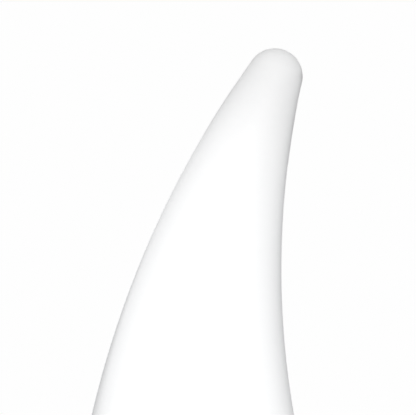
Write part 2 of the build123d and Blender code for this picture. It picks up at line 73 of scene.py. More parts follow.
def grained(name, colour, metallic, gloss, grain, drawn=(1, 1, 1), relief=0.000002, tone=0.9):
    """Material whose grain varies its tone and gloss and raises a fine relief. Gloss is the
    roughness of its brightest and dullest spots, and drawn scales the grain along each axis."""
    material = bpy.data.materials.new(name)
    material.use_nodes = True
    nodes, links = material.node_tree.nodes, material.node_tree.links
    shader = nodes["Principled BSDF"]
    shader.inputs["Metallic"].default_value = metallic
    place = nodes.new("ShaderNodeTexCoord")
    stretch = nodes.new("ShaderNodeMapping")
    stretch.inputs["Scale"].default_value = drawn
    links.new(place.outputs["Object"], stretch.inputs["Vector"])
    noise = nodes.new("ShaderNodeTexNoise")
    noise.inputs["Scale"].default_value = grain
    noise.inputs["Detail"].default_value = 4
    links.new(stretch.outputs["Vector"], noise.inputs["Vector"])
    polish = nodes.new("ShaderNodeMapRange")
    polish.name = "polish"
    polish.inputs["From Min"].default_value = 0.3
    polish.inputs["From Max"].default_value = 0.7
    polish.inputs["To Min"].default_value, polish.inputs["To Max"].default_value = gloss
    links.new(noise.outputs["Fac"], polish.inputs["Value"])
    links.new(polish.outputs["Result"], shader.inputs["Roughness"])
    # a colour mix takes its two colours on inputs 6 and 7 and gives output 2
    shade = nodes.new("ShaderNodeMix")
    shade.name = "shade"
    shade.data_type = "RGBA"
    shade.inputs[6].default_value = (*(tone * part for part in colour), 1)
    shade.inputs[7].default_value = (*colour, 1)
    links.new(noise.outputs["Fac"], shade.inputs[0])
    links.new(shade.outputs[2], shader.inputs["Base Color"])
    bump = nodes.new("ShaderNodeBump")
    bump.inputs["Distance"].default_value = relief
    links.new(noise.outputs["Fac"], bump.inputs["Height"])
    links.new(bump.outputs["Normal"], shader.inputs["Normal"])
    return material


def worn_edges(material, colour, gloss, reach):
    """Rubs a material's edges to a colour and gloss, within a distance of the edge."""
    nodes, links = material.node_tree.nodes, material.node_tree.links
    shader = nodes["Principled BSDF"]
    rounded = nodes.new("ShaderNodeBevel")
    rounded.samples = 8
    rounded.inputs["Radius"].default_value = reach
    surface = nodes.new("ShaderNodeNewGeometry")
    flat = nodes.new("ShaderNodeVectorMath")
    flat.operation = "DOT_PRODUCT"
    links.new(rounded.outputs["Normal"], flat.inputs[0])
    links.new(surface.outputs["Normal"], flat.inputs[1])
    edge = nodes.new("ShaderNodeMapRange")
    edge.inputs["From Min"].default_value = 0.995
    edge.inputs["From Max"].default_value = 0.90
    links.new(flat.outputs["Value"], edge.inputs["Value"])
    rub = nodes.new("ShaderNodeMix")
    rub.data_type = "RGBA"
    rub.inputs[7].default_value = (*colour, 1)
    links.new(edge.outputs["Result"], rub.inputs[0])
    links.new(nodes["shade"].outputs[2], rub.inputs[6])
    links.new(rub.outputs[2], shader.inputs["Base Color"])
    # a plain mix takes its two values on inputs 2 and 3 and gives output 0
    shine = nodes.new("ShaderNodeMix")
    shine.inputs[3].default_value = gloss
    links.new(edge.outputs["Result"], shine.inputs[0])
    links.new(nodes["polish"].outputs["Result"], shine.inputs[2])
    links.new(shine.outputs[0], shader.inputs["Roughness"])


def paint(material, *names):
    """Gives fixed nodes their finish."""
    for name in names:
        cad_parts[name].material_slots[0].material = material


plate = grained(
    "nickel_plate", colour=(0.76, 0.74, 0.70), metallic=1,
    gloss=(0.22, 0.31), grain=6500, drawn=(1, 1, 0.03), relief=0.000001, tone=0.95,
)
worn_edges(plate, colour=(0.90, 0.88, 0.84), gloss=0.16, reach=0.0003)
paint(plate, "hanging_bail")
rivet = grained("rivet_steel", colour=(0.62, 0.62, 0.62), metallic=1, gloss=(0.24, 0.36), grain=5000)
worn_edges(rivet, colour=(0.78, 0.78, 0.78), gloss=0.2, reach=0.00015)
paint(rivet, "bail_pin")
turned_brass = grained(
    "turned_post", colour=(0.74, 0.69, 0.57), metallic=1,
    gloss=(0.16, 0.30), grain=700, drawn=(0.05, 0.05, 20),
)
worn_edges(turned_brass, colour=(0.90, 0.85, 0.72), gloss=0.14, reach=0.0002)
paint(turned_brass, "swivel_post")
nylon = grained("nylon_washer", colour=(0.86, 0.85, 0.80), metallic=0, gloss=(0.35, 0.5), grain=3000)
shader = nylon.node_tree.nodes["Principled BSDF"]
shader.inputs["Subsurface Weight"].default_value = 0.3
shader.inputs["Subsurface Scale"].default_value = 0.0005
paint(nylon, "swivel_washer")
blued = grained(
    "blued_spring", colour=(0.22, 0.23, 0.26), metallic=1,
    gloss=(0.25, 0.42), grain=3200, drawn=(1, 0.1, 1),
)
worn_edges(blued, colour=(0.5, 0.5, 0.52), gloss=0.22, reach=0.0001)
paint(blued, "retaining_clip")

# ---- Cap ----------------------------------------------------------------------------------------
# Injection-moulded cap, plated satin silver. Flutes run down its side to a bead, and below the bead
# its skirt flares out to a scalloped, rolled edge. Two bosses inside take the carrier's screws.

cap_radius = 0.0174
cap_bore = 0.0158
cap_roof = 0.002
cap_edge = 0.0012
cap_side = 0.0104
post_hole = 0.00165
hole_edge = 0.0002
roof_ring = 0.0143         # raised ring on the roof
roof_ring_height = 0.0003
flute_count = 30
flute_radius = 0.0009
flute_depth = 0.0005
flute_end = 0.0009         # length over which a flute runs out
bead_radius = 0.0007
skirt_flare = 0.0029
rolled_edge = 0.0006
scallop_count = 12
scallop_radius = 0.0074
scallop_rise = 0.0016
boss_radius = 0.0026
screw_hole = 0.00105
screw_head_radius = 0.0019
screw_seat_radius = 0.0021
screw_seat_depth = 0.0012
rib_wall = 0.001           # ribs each side of the switch
rib_gap = 0.00005
slot_length = 0.0048
slot_width = 0.0018
around = 480               # corners round the cap: 16 to a flute, 40 to a scallop
crease = radians(32)       # faces that meet at less than this are shaded as one

cap_low, cap_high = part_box("cap_crown")
carrier_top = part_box("carrier")[1].z
switch_low, switch_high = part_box("switch_body")
switch_middle = (switch_low + switch_high) / 2
boss_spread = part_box("carrier_screws")[1].x - screw_head_radius
roof_foot = cap_high.z - cap_roof
side_foot = roof_foot - cap_side
flute_top = cap_high.z - cap_edge - bead_radius
flute_foot = side_foot + bead_radius
skirt_slope = atan2(side_foot - cap_low.z, skirt_flare)


def next_ring(grow, centre, move=(0, 0, 0)):
    """Extrudes the open edge, moves it and scales it about its new centre."""
    bpy.ops.mesh.extrude_region_move(TRANSFORM_OT_translate={"value": move})
    bpy.ops.transform.resize(value=(grow, grow, grow), center_override=centre)


def arc(centre, radius, start, end, steps):
    """Corners of a profile along an arc, from the first angle to the last, in degrees."""
    turns = [radians(start + (end - start) * step / steps) for step in range(steps + 1)]
    return [(centre[0] + radius * cos(turn), centre[1] + radius * sin(turn)) for turn in turns]


def run(start, end, steps):
    """Corners of a profile along a straight run, without its first."""
    shares = [step / steps for step in range(1, steps + 1)]
    return [tuple(a + (b - a) * share for a, b in zip(start, end)) for share in shares]


def turned(name, profile, place=(0, 0), segments=48):
    """Piece turned about an upright axis, from the radius and level of each corner of its profile.
    A profile that doesn't end where it starts is closed with flat faces."""
    bpy.ops.object.select_all(action="DESELECT")
    bpy.ops.mesh.primitive_circle_add(
        vertices=segments, radius=profile[0][0], fill_type="NOTHING", location=(*place, profile[0][1])
    )
    piece = bpy.context.object
    piece.name = name
    bpy.ops.object.transform_apply(location=True)
    bpy.ops.object.mode_set(mode="EDIT")
    bpy.ops.mesh.select_all(action="SELECT")
    radius, level = profile[0]
    for next_radius, next_level in profile[1:]:
        next_ring(next_radius / radius, (*place, next_level), (0, 0, next_level - level))
        radius, level = next_radius, next_level
    bpy.ops.mesh.select_all(action="SELECT")
    bpy.ops.mesh.remove_doubles(threshold=0.000002)
    bpy.ops.mesh.fill_holes(sides=0)
    bpy.ops.mesh.normals_make_consistent(inside=False)
    bpy.ops.object.mode_set(mode="OBJECT")
    return piece


def apply_modifier(piece, kind, **settings):
    """Adds a modifier to a piece with its settings, and applies it."""
    bpy.ops.object.select_all(action="DESELECT")
    bpy.context.view_layer.objects.active = piece
    piece.select_set(True)
    change = piece.modifiers.new("change", kind)
    for setting, value in settings.items():
        setattr(change, setting, value)
    bpy.ops.object.modifier_apply(modifier=change.name)


def block(name, low, high, edge):
    """Block between two corners, with its edges rounded."""
    bpy.ops.object.select_all(action="DESELECT")
    bpy.ops.mesh.primitive_cube_add(size=1, location=(Vector(low) + Vector(high)) / 2)
    piece = bpy.context.object
    piece.name = name
    piece.scale = Vector(high) - Vector(low)
    bpy.ops.object.transform_apply(location=True, scale=True)
    apply_modifier(piece, "BEVEL", width=edge, segments=3)
    return piece


def combine(piece, tool, operation):
    """Joins a tool to a piece or cuts it away, and removes the tool."""
    apply_modifier(piece, "BOOLEAN", operation=operation, object=tool)
    bpy.data.objects.remove(tool)


lip = (cap_radius + skirt_flare - rolled_edge, cap_low.z + rolled_edge)
profile = [(post_hole, cap_high.z - hole_edge), (post_hole + hole_edge, cap_high.z)]
profile += arc((roof_ring, cap_high.z), roof_ring_height, start=180, end=0, steps=6)
profile += arc((cap_radius - cap_edge, cap_high.z - cap_edge), cap_edge, start=90, end=0, steps=6)
profile += run(profile[-1], (cap_radius, flute_top), steps=2)
profile += run(profile[-1], (cap_radius, flute_top - flute_end), steps=5)
profile += run(profile[-1], (cap_radius, flute_foot + flute_end), steps=4)
profile += run(profile[-1], (cap_radius, flute_foot), steps=5)
profile += arc((cap_radius, side_foot), bead_radius, start=85, end=-degrees(skirt_slope), steps=8)
lip_corners = arc(lip, rolled_edge, start=115, end=-130, steps=12)
profile += run(profile[-1], lip_corners[0], steps=7) + lip_corners[1:]
profile += run(profile[-1], (cap_bore, side_foot), steps=7)
profile += run(profile[-1], (cap_bore, roof_foot - cap_edge / 2), steps=3)
inner_edge = cap_edge / 2
profile += arc((cap_bore - inner_edge, roof_foot - inner_edge), inner_edge, start=15, end=90, steps=4)
profile += [(post_hole, roof_foot), (post_hole, cap_high.z - hole_edge)]
cap = turned("cap", profile, segments=around)

# flutes: pressed in by a weight that follows each flute's round section and fades at its ends
flutes = cap.vertex_groups.new(name="flutes")
flute_pitch = 360 / flute_count
for vertex in cap.data.vertices:
    turn = degrees(atan2(vertex.co.y, vertex.co.x))
    offset = radians((turn + flute_pitch / 2) % flute_pitch - flute_pitch / 2) * cap_radius
    inside = min(flute_top - vertex.co.z, vertex.co.z - flute_foot) / flute_end
    outer_wall = hypot(vertex.co.x, vertex.co.y) > (cap_bore + cap_radius) / 2
    if outer_wall and inside > 0 and abs(offset) < flute_radius:
        depth = sqrt(flute_radius**2 - offset**2) - flute_radius + flute_depth
        fade = sqrt(1 - (1 - min(inside, 1)) ** 2)
        flutes.add([vertex.index], max(depth, 0) / flute_depth * fade, "REPLACE")
apply_modifier(cap, "DISPLACE", strength=-flute_depth, mid_level=0, vertex_group="flutes")

# scallops: the rolled edge is drawn up the skirt's slope in round arches, and the skirt follows
bead_foot = side_foot - bead_radius * sin(skirt_slope)
scallop_pitch = 360 / scallop_count
for vertex in cap.data.vertices:
    drop = min((bead_foot - vertex.co.z) / (bead_foot - lip[1] - rolled_edge), 1)
    turn = atan2(vertex.co.y, vertex.co.x)
    offset = radians((degrees(turn) + scallop_pitch / 2) % scallop_pitch - scallop_pitch / 2) * lip[0]
    rise = sqrt(scallop_radius**2 - offset**2) - scallop_radius + scallop_rise
    if drop > 0 and rise > 0:
        back = rise / tan(skirt_slope)
        vertex.co += Vector((-back * cos(turn), -back * sin(turn), rise)) * drop

# bosses and the switch's ribs under the roof, then the holes
for side in (-1, 1):
    boss = [(boss_radius, roof_foot + cap_roof / 2), (boss_radius, carrier_top + hole_edge),
            (boss_radius - hole_edge, carrier_top)]
    combine(cap, turned("boss", boss, (side * boss_spread, 0)), "UNION")
    rib_middle = side * (switch_high.x + rib_gap + rib_wall / 2)
    low = (rib_middle - rib_wall / 2, switch_low.y, switch_low.z)
    high = (rib_middle + rib_wall / 2, switch_high.y, roof_foot + cap_roof / 2)
    combine(cap, block("rib", low, high, hole_edge), "UNION")
for side in (-1, 1):
    hole = [(screw_seat_radius + hole_edge, cap_high.z + hole_edge / 2),
            (screw_seat_radius, cap_high.z - hole_edge),
            (screw_seat_radius, cap_high.z - screw_seat_depth),
            (screw_hole, cap_high.z - screw_seat_depth),
            (screw_hole, carrier_top - hole_edge)]
    combine(cap, turned("hole", hole, (side * boss_spread, 0)), "DIFFERENCE")
low = (-slot_length / 2, switch_middle.y - slot_width / 2, roof_foot - cap_roof)
high = (slot_length / 2, switch_middle.y + slot_width / 2, cap_high.z + cap_roof)
combine(cap, block("slot", low, high, slot_width / 4), "DIFFERENCE")
bpy.ops.object.select_all(action="DESELECT")
cap.select_set(True)
bpy.context.view_layer.objects.active = cap
bpy.ops.object.shade_smooth_by_angle(angle=crease)

silver = grained(
    "satin_silver", colour=(0.78, 0.785, 0.80), metallic=1,
    gloss=(0.18, 0.26), grain=1400, relief=0.0000008, tone=0.96,
)
worn_edges(silver, colour=(0.92, 0.92, 0.93), gloss=0.14, reach=0.00025)
cap.data.materials.append(silver)
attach(cap, "light_unit")
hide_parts("cap_crown")

# ---- Screws -------------------------------------------------------------------------------------
# Zinc-plated pan-head screws with a cross recess: two hold the carrier to the cap, two the board and
# one the cell door.

zinc = grained("zinc_screws", colour=(0.60, 0.60, 0.57), metallic=1, gloss=(0.26, 0.42), grain=3500)
worn_edges(zinc, colour=(0.80, 0.79, 0.74), gloss=0.2, reach=0.00015)
paint(zinc, "carrier_screws", "board_screws", "cover_screw")

# ---- Switch -------------------------------------------------------------------------------------
# Small slide switch held between two ribs under the cap's roof: black body, white ribbed slider that
# stands through the roof, and three tinned legs.

black_moulding = grained(
    "switch_moulding", colour=(0.035, 0.035, 0.038), metallic=0,
    gloss=(0.38, 0.55), grain=6000, tone=0.8,
)
worn_edges(black_moulding, colour=(0.09, 0.09, 0.09), gloss=0.4, reach=0.00015)
paint(black_moulding, "switch_body")
white_moulding = grained(
    "slider_moulding", colour=(0.84, 0.84, 0.81), metallic=0,
    gloss=(0.30, 0.42), grain=5000, tone=0.96,
)
paint(white_moulding, "switch_slider")
tinned = grained("tinned_legs", colour=(0.76, 0.75, 0.71), metallic=1, gloss=(0.22, 0.40), grain=4000)
paint(tinned, "switch_terminals")

# ---- Carrier ------------------------------------------------------------------------------------
# White moulding that hangs from the cap: the disc with both rubber rings, the bay for the coin cells
# behind a screwed door, and the board's standoffs.

carrier_moulding = grained(
    "carrier_moulding", colour=(0.80, 0.81, 0.80), metallic=0,
    gloss=(0.34, 0.5), grain=4000, tone=0.95,
)
worn_edges(carrier_moulding, colour=(0.88, 0.88, 0.87), gloss=0.3, reach=0.0002)
paint(carrier_moulding, "carrier", "cell_cover")
rubber = grained(
    "ring_rubber", colour=(0.025, 0.025, 0.026), metallic=0,
    gloss=(0.5, 0.7), grain=5000, tone=0.7,
)
paint(rubber, "seal_ring_upper", "seal_ring_lower")

# ---- Cells and contacts -------------------------------------------------------------------------
# Two coin cells in brushed steel cans, one on the other, between two nickel-plated spring strips.

can = grained(
    "cell_can", colour=(0.70, 0.70, 0.69), metallic=1,
    gloss=(0.18, 0.34), grain=2400, drawn=(1, 0.05, 1),
)
worn_edges(can, colour=(0.86, 0.86, 0.85), gloss=0.15, reach=0.0002)
paint(can, "cell_upper", "cell_lower")
spring = grained(
    "contact_spring", colour=(0.76, 0.72, 0.62), metallic=1,
    gloss=(0.2, 0.36), grain=3000, drawn=(0.1, 1, 1),
)
paint(spring, "positive_contact", "negative_contact")

# ---- LED board ----------------------------------------------------------------------------------
# Round board under a white lacquer, which hangs from the carrier's standoffs. It holds three LEDs
# that shine down into the icicle, a resistor for each on its upper side, and solder at every lead.

led_count = 3
led_turn = 360 / led_count
led_ring = 0.006
led_radius = 0.0025
led_flange_radius = 0.0029
led_flange = 0.001
led_flat = 0.0026          # flat side of the flange, from the LED's middle
led_edge = 0.0001
led_stilt = 0.0007         # gap between the board and the flange
leg_grip = 0.0008          # how far a leg reaches into the lens
post_head = 0.0004         # top of an inner post under the lens's top
post_foot = 0.0003         # its foot above the cup's rim
cup_post = 0.00055         # inward widening of the post that holds the cup
plain_post = 0.00005       # and of the other one
cup_drop = 0.0022          # cup's rim under the flange
cup_offset = 0.0006        # cup's middle from its leg
lead_width = 0.0005
lead_pitch = 0.00254
resistor_ring = 0.005
resistor_radius = 0.0008
resistor_length = 0.0032
resistor_span = 0.0052
solder_radius = 0.00065
solder_height = 0.0006
solder_edge = 0.00004      # height of a pad's edge
wire_solder = 0.0009
tail_solder = 0.0014
wire_landing = (0.0025, -0.0094)
board_low, board_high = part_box("led_board")
led_low, led_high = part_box("led_1")
led_top = board_low.z - led_stilt

lacquer = grained(
    "board_lacquer", colour=(0.83, 0.86, 0.84), metallic=0,
    gloss=(0.22, 0.36), grain=3000, relief=0.0000006, tone=0.96,
)
paint(lacquer, "led_board")

epoxy = grained(
    "led_epoxy", colour=(0.96, 0.98, 1.0), metallic=0,
    gloss=(0.03, 0.07), grain=1500, tone=0.99,
)
shader = epoxy.node_tree.nodes["Principled BSDF"]
shader.inputs["Transmission Weight"].default_value = 0.9
shader.inputs["IOR"].default_value = 1.52
phosphor = grained(
    "led_phosphor", colour=(0.92, 0.78, 0.25), metallic=0,
    gloss=(0.5, 0.7), grain=8000, tone=0.9,
)
shader = phosphor.node_tree.nodes["Principled BSDF"]
shader.inputs["Emission Color"].default_value = (1.0, 0.96, 0.86, 1)
shader.inputs["Emission Strength"].default_value = 2.5
tinned_frame = grained(
    "led_frame", colour=(0.76, 0.76, 0.75), metallic=1,
    gloss=(0.2, 0.38), grain=4000,
)


def turn_copy(piece, name, angle):
    """Copy of a piece with its own mesh, turned about the ornament's axis by degrees."""
    bpy.ops.object.select_all(action="DESELECT")
    piece.select_set(True)
    bpy.context.view_layer.objects.active = piece
    bpy.ops.object.duplicate()
    copy = bpy.context.object
    copy.name = name
    copy.rotation_euler.z = radians(angle)
    bpy.ops.object.transform_apply(rotation=True)
    return copy


def join(name, first, *others):
    """Joins pieces into one object."""
    bpy.ops.object.select_all(action="DESELECT")
    for piece in (first, *others):
        piece.select_set(True)
    bpy.context.view_layer.objects.active = first
    bpy.ops.object.join()
    first.name = name
    return first


# lens: flange with a flat, straight side and domed end
straight = led_low.z + led_radius
profile = [(led_flange_radius - led_edge, led_top), (led_flange_radius, led_top - led_edge),
           (led_flange_radius, led_top - led_flange + led_edge),
           (led_flange_radius - led_edge, led_top - led_flange),
           (led_radius, led_top - led_flange)]
profile += run(profile[-1], (led_radius, straight), steps=3)
profile += arc((0, straight), led_radius, start=0, end=-89, steps=10)[1:]
lens = turned("led_lens_1", profile, (0, -led_ring), segments=64)
bpy.ops.object.mode_set(mode="EDIT")
bpy.ops.mesh.select_all(action="SELECT")
bpy.ops.mesh.bisect(
    plane_co=(0, -led_ring - led_flat, 0), plane_no=(0, -1, 0), use_fill=True, clear_outer=True
)
bpy.ops.object.mode_set(mode="OBJECT")
bpy.ops.object.shade_smooth_by_angle(angle=crease)
lens.data.materials.append(epoxy)

# frame inside: two leads that go on as posts in the lens, of which one holds the cup
cup_level = led_top - led_flange - cup_drop
half_lead = lead_width / 2
legs = []
for side, widening in ((-1, cup_post), (1, plain_post)):
    outer = side * lead_pitch / 2
    inner = outer - side * widening
    low = (outer - half_lead, -led_ring - half_lead, led_top - leg_grip)
    high = (outer + half_lead, -led_ring + half_lead, led_high.z)
    legs.append(block("leg", low, high, half_lead / 4))
    low = (min(outer, inner) - half_lead, -led_ring - half_lead, cup_level + post_foot)
    high = (max(outer, inner) + half_lead, -led_ring + half_lead, led_top - post_head)
    legs.append(block("post", low, high, half_lead / 4))
# cup: radius and height over its rim of each corner, down its outside and up into its hollow
cup_corners = ((0.0004, 0.0011), (0.0006, 0.0006), (0.00085, 0),
               (0.00075, 0), (0.0004, 0.0005), (0.00002, 0.0005))
cup = [(radius, cup_level + height) for radius, height in cup_corners]
cup_place = (-lead_pitch / 2 + cup_offset, -led_ring)
legs.append(turned("cup", cup, cup_place, segments=32))
frame_piece = join("led_frame_1", *legs)
bpy.ops.object.shade_smooth_by_angle(angle=crease)
frame_piece.data.materials.append(tinned_frame)
# dab of phosphor in the cup: radius and height over the cup's rim of each corner
dab_corners = ((0.00045, 0.00045), (0.0007, 0.0001), (0.00055, -0.0001), (0.0003, -0.00018),
               (0.00002, -0.0002))
dab = [(radius, cup_level + height) for radius, height in dab_corners]
chip = turned("led_chip_1", dab, cup_place, segments=32)
bpy.ops.object.shade_smooth_by_angle(angle=radians(60))
chip.data.materials.append(phosphor)
for index in range(led_count):
    for piece, slot in ((lens, "led_epoxy"), (frame_piece, "tinned_brass"), (chip, "led_epoxy")):
        made = turn_copy(piece, f"{piece.name[:-1]}{index + 1}", led_turn * index) if index else piece
        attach(made, "light_unit")
        if piece == lens:
            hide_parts(f"led_{index + 1}")

# solder: one cone on each lead, above the board for the LEDs and below it for the resistors
spread = solder_radius - half_lead
cone = [(half_lead, solder_height), (half_lead + 0.15 * spread, 0.6 * solder_height),
        (half_lead + 0.45 * spread, 0.25 * solder_height), (solder_radius, solder_edge),
        (solder_radius, 0)]
joints = []
for index in range(led_count):
    for side in (-1, 1):
        for ring, reach, angle, level, up in (
            (led_ring, lead_pitch / 2, -90, board_high.z, 1),
            (resistor_ring, resistor_span / 2, 90, board_low.z, -1),
        ):
            turn = radians(led_turn * index + angle)
            place = (ring * cos(turn) - side * reach * sin(turn),
                     ring * sin(turn) + side * reach * cos(turn))
            corners = [(radius, level + up * height) for radius, height in cone]
            joints.append(turned("joint", corners, place, segments=16))
# and a dome where the wire and the cells' negative strip meet the board's lower side
dome_shares = ((0.02, 1), (0.4, 0.94), (0.66, 0.6), (0.8, 0.2), (1, 0.04), (1, 0))
for place, width in ((wire_landing, wire_solder), ((0, 0), tail_solder)):
    dome = [(share * width, board_low.z - height * solder_height) for share, height in dome_shares]
    joints.append(turned("joint", dome, place, segments=24))
solder = join("solder_joints", *joints)
bpy.ops.object.shade_smooth_by_angle(angle=radians(50))
tin = grained("solder_tin", colour=(0.72, 0.72, 0.71), metallic=1, gloss=(0.15, 0.35), grain=5000)
solder.data.materials.append(tin)
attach(solder, "light_unit")

# resistors: fixed nodes whose bands are painted across their length
resistor_tan = (0.70, 0.52, 0.32)
lead_tin = (0.74, 0.74, 0.73)
band_width = 0.1           # as a share of the resistor's length
end_margin = 0.00001


def banded(name, angle, bands):
    """Finish of a resistor that lies across a direction from the board's middle: tinned leads, a
    tan body, and colour bands at places along it."""
    material = grained(name, colour=resistor_tan, metallic=0, gloss=(0.22, 0.36), grain=3000)
    nodes, links = material.node_tree.nodes, material.node_tree.links
    shader = nodes["Principled BSDF"]
    place = nodes.new("ShaderNodeTexCoord")
    turn_back = nodes.new("ShaderNodeMapping")
    turn_back.inputs["Rotation"].default_value = (0, 0, -radians(angle))
    turn_back.inputs["Location"].default_value = (-resistor_ring, 0, -board_high.z - resistor_radius)
    links.new(place.outputs["Object"], turn_back.inputs["Vector"])
    split = nodes.new("ShaderNodeSeparateXYZ")
    links.new(turn_back.outputs["Vector"], split.inputs[0])
    along = nodes.new("ShaderNodeMapRange")
    along.inputs["From Min"].default_value = -resistor_length / 2
    along.inputs["From Max"].default_value = resistor_length / 2
    links.new(split.outputs["Y"], along.inputs["Value"])
    stripes = nodes.new("ShaderNodeValToRGB")
    stripes.color_ramp.interpolation = "CONSTANT"
    stripes.color_ramp.elements[0].color = (*resistor_tan, 1)
    stripes.color_ramp.elements[1].position = 0.99
    stripes.color_ramp.elements[1].color = (*resistor_tan, 1)
    for start, colour in bands:
        stop = stripes.color_ramp.elements.new(start)
        stop.color = (*colour, 1)
        stop = stripes.color_ramp.elements.new(start + band_width)
        stop.color = (*resistor_tan, 1)
    links.new(along.outputs["Result"], stripes.inputs[0])
    size = nodes.new("ShaderNodeVectorMath")
    size.operation = "ABSOLUTE"
    links.new(turn_back.outputs["Vector"], size.inputs[0])
    reach = nodes.new("ShaderNodeSeparateXYZ")
    links.new(size.outputs["Vector"], reach.inputs[0])
    lead = nodes.new("ShaderNodeMath")
    lead.operation = "GREATER_THAN"
    lead.inputs[1].default_value = resistor_length / 2 + end_margin
    links.new(reach.outputs["Y"], lead.inputs[0])
    body = nodes.new("ShaderNodeMix")
    body.data_type = "RGBA"
    body.inputs[7].default_value = (*lead_tin, 1)
    links.new(lead.outputs[0], body.inputs[0])
    links.new(stripes.outputs["Color"], body.inputs[6])
    links.new(body.outputs[2], shader.inputs["Base Color"])
    links.new(lead.outputs[0], shader.inputs["Metallic"])
    return material


brown, orange, gold = (0.20, 0.07, 0.03), (0.80, 0.22, 0.03), (0.60, 0.42, 0.12)
bands = ((0.16, orange), (0.34, orange), (0.52, brown), (0.78, gold))
for index in range(led_count):
    across = 90 + led_turn * index
    paint(banded(f"resistor_{index + 1}_lacquer", across, bands), f"resistor_{index + 1}")

# ---- Wires --------------------------------------------------------------------------------------
# Two thin red wires in soft insulation, from the cells to the switch and from the switch to the board.

insulation = grained(
    "wire_insulation", colour=(0.55, 0.03, 0.025), metallic=0,
    gloss=(0.3, 0.42), grain=3000,
)
paint(insulation, "wire_positive", "wire_switched")

# ---- Icicle -------------------------------------------------------------------------------------
# Blow-moulded from milk-white plastic, with an even wall and a fine parting line that runs round it
# in the plane of its bend. Its glow is painted light: emission on the shell, brightest at the wide
# end.

bend_radius = 0.206
bend_angle = radians(24.5)
shoulder_radius = 0.024
tip_radius = 0.006
wall = 0.0012
shoulder_drop = 0.013
shoulder_fullness = 0.43
neck_height = 0.012
neck_root = 0.002
neck_radius = 0.0155
seam_half = 0.00016
seam_rise = 0.00012
segments = 144
neck_rings = 6
root_rings = 8
shoulder_rings = 22
horn_rings = 64
dome_rings = 14
last_ring = 0.001          # smallest ring of the tip, as a share of its radius
painted_glow_reach = 0.095         # distance from the tip over which the painted glow grows

horn_length = bend_radius * bend_angle
taper = asin((shoulder_radius - tip_radius) / horn_length)
neck_foot = icicle_high.z - neck_height
shoulder_top = neck_foot - neck_root
shoulder_level = shoulder_top - shoulder_drop
dome_start = horn_length + tip_radius * sin(taper)


def horn_centre(distance):
    """Point of the horn's centre line at a distance from the shoulder."""
    turn = distance / bend_radius
    return Vector((-bend_radius * (1 - cos(turn)), 0, shoulder_level - bend_radius * sin(turn)))


def horn_section(distance):
    """Radius of the horn there."""
    return (shoulder_radius - distance * sin(taper)) / cos(taper)


bpy.ops.mesh.primitive_circle_add(
    vertices=segments, radius=neck_radius, fill_type="NOTHING", location=(0, 0, icicle_high.z)
)
icicle = bpy.context.object
icicle.name = "icicle_shell"
bpy.ops.object.transform_apply(location=True)
bpy.ops.object.mode_set(mode="EDIT")
bpy.ops.mesh.select_all(action="SELECT")

# neck, its root fillet, and the shoulder as one curve that leaves flat and meets the horn's slope
profile = [Vector((neck_radius, icicle_high.z - neck_height * ring / neck_rings))
           for ring in range(1, neck_rings + 1)]
for ring in range(1, root_rings + 1):
    turn = pi + pi / 2 * ring / root_rings
    profile.append(Vector((neck_radius + neck_root + neck_root * cos(turn),
                           neck_foot + neck_root * sin(turn))))
shoulder_start = Vector((horn_section(0), shoulder_level))
pull = shoulder_fullness * (profile[-1] - shoulder_start).length
curve = [profile[-1], profile[-1] + Vector((pull, 0)),
         shoulder_start + Vector((sin(taper), cos(taper))) * pull, shoulder_start]
for ring in range(1, shoulder_rings + 1):
    share = ring / shoulder_rings
    left = 1 - share
    weights = (left**3, 3 * share * left**2, 3 * share**2 * left, share**3)
    profile.append(sum((weight * point for weight, point in zip(weights, curve)), Vector((0, 0))))
radius, level = neck_radius, icicle_high.z
for point in profile:
    next_ring(point.x / radius, (0, 0, point.y), (0, 0, point.y - level))
    radius, level = point

# horn: each ring turns about the bend's centre and shrinks evenly
bend_centre = Vector((-bend_radius, 0, shoulder_level))
for ring in range(1, horn_rings + 1):
    distance = dome_start * ring / horn_rings
    bpy.ops.mesh.extrude_region_move()
    bpy.ops.transform.rotate(
        value=-dome_start / horn_rings / bend_radius, orient_axis="Y", center_override=bend_centre
    )
    grow = horn_section(distance) / radius
    bpy.ops.transform.resize(value=(grow, grow, grow), center_override=horn_centre(distance))
    radius = horn_section(distance)

# tip: rings of the ball that ends the horn, and the last one closed
end_turn = dome_start / bend_radius
end_axis = Vector((-sin(end_turn), 0, -cos(end_turn)))
ball_centre = horn_centre(dome_start) - end_axis * tip_radius * sin(taper)
angle = taper
for ring in range(1, dome_rings + 1):
    next_angle = taper + (pi / 2 - taper) * ring / dome_rings
    move = end_axis * tip_radius * (sin(next_angle) - sin(angle))
    grow = max(cos(next_angle), last_ring) / cos(angle)
    next_ring(grow, ball_centre + end_axis * tip_radius * sin(next_angle), move)
    angle = next_angle
bpy.ops.mesh.merge(type="CENTER")
bpy.ops.mesh.select_all(action="SELECT")
bpy.ops.mesh.normals_make_consistent(inside=False)

# parting line: two cuts each side of the bend's plane, and the strip between the inner two raised
for offset in (-2 * seam_half, -seam_half, seam_half, 2 * seam_half):
    bpy.ops.mesh.select_all(action="SELECT")
    bpy.ops.mesh.bisect(plane_co=(0, offset, 0), plane_no=(0, 1, 0))
bpy.ops.mesh.select_all(action="DESELECT")
bpy.ops.object.mode_set(mode="OBJECT")
for face in icicle.data.polygons:
    face.select = abs(face.center.y) < seam_half and face.center.z < neck_foot
bpy.ops.object.mode_set(mode="EDIT")
bpy.ops.transform.shrink_fatten(value=seam_rise)
bpy.ops.object.mode_set(mode="OBJECT")

apply_modifier(icicle, "SOLIDIFY", thickness=wall, offset=-1, use_even_offset=True)
bpy.ops.object.shade_smooth_by_angle(angle=radians(35))

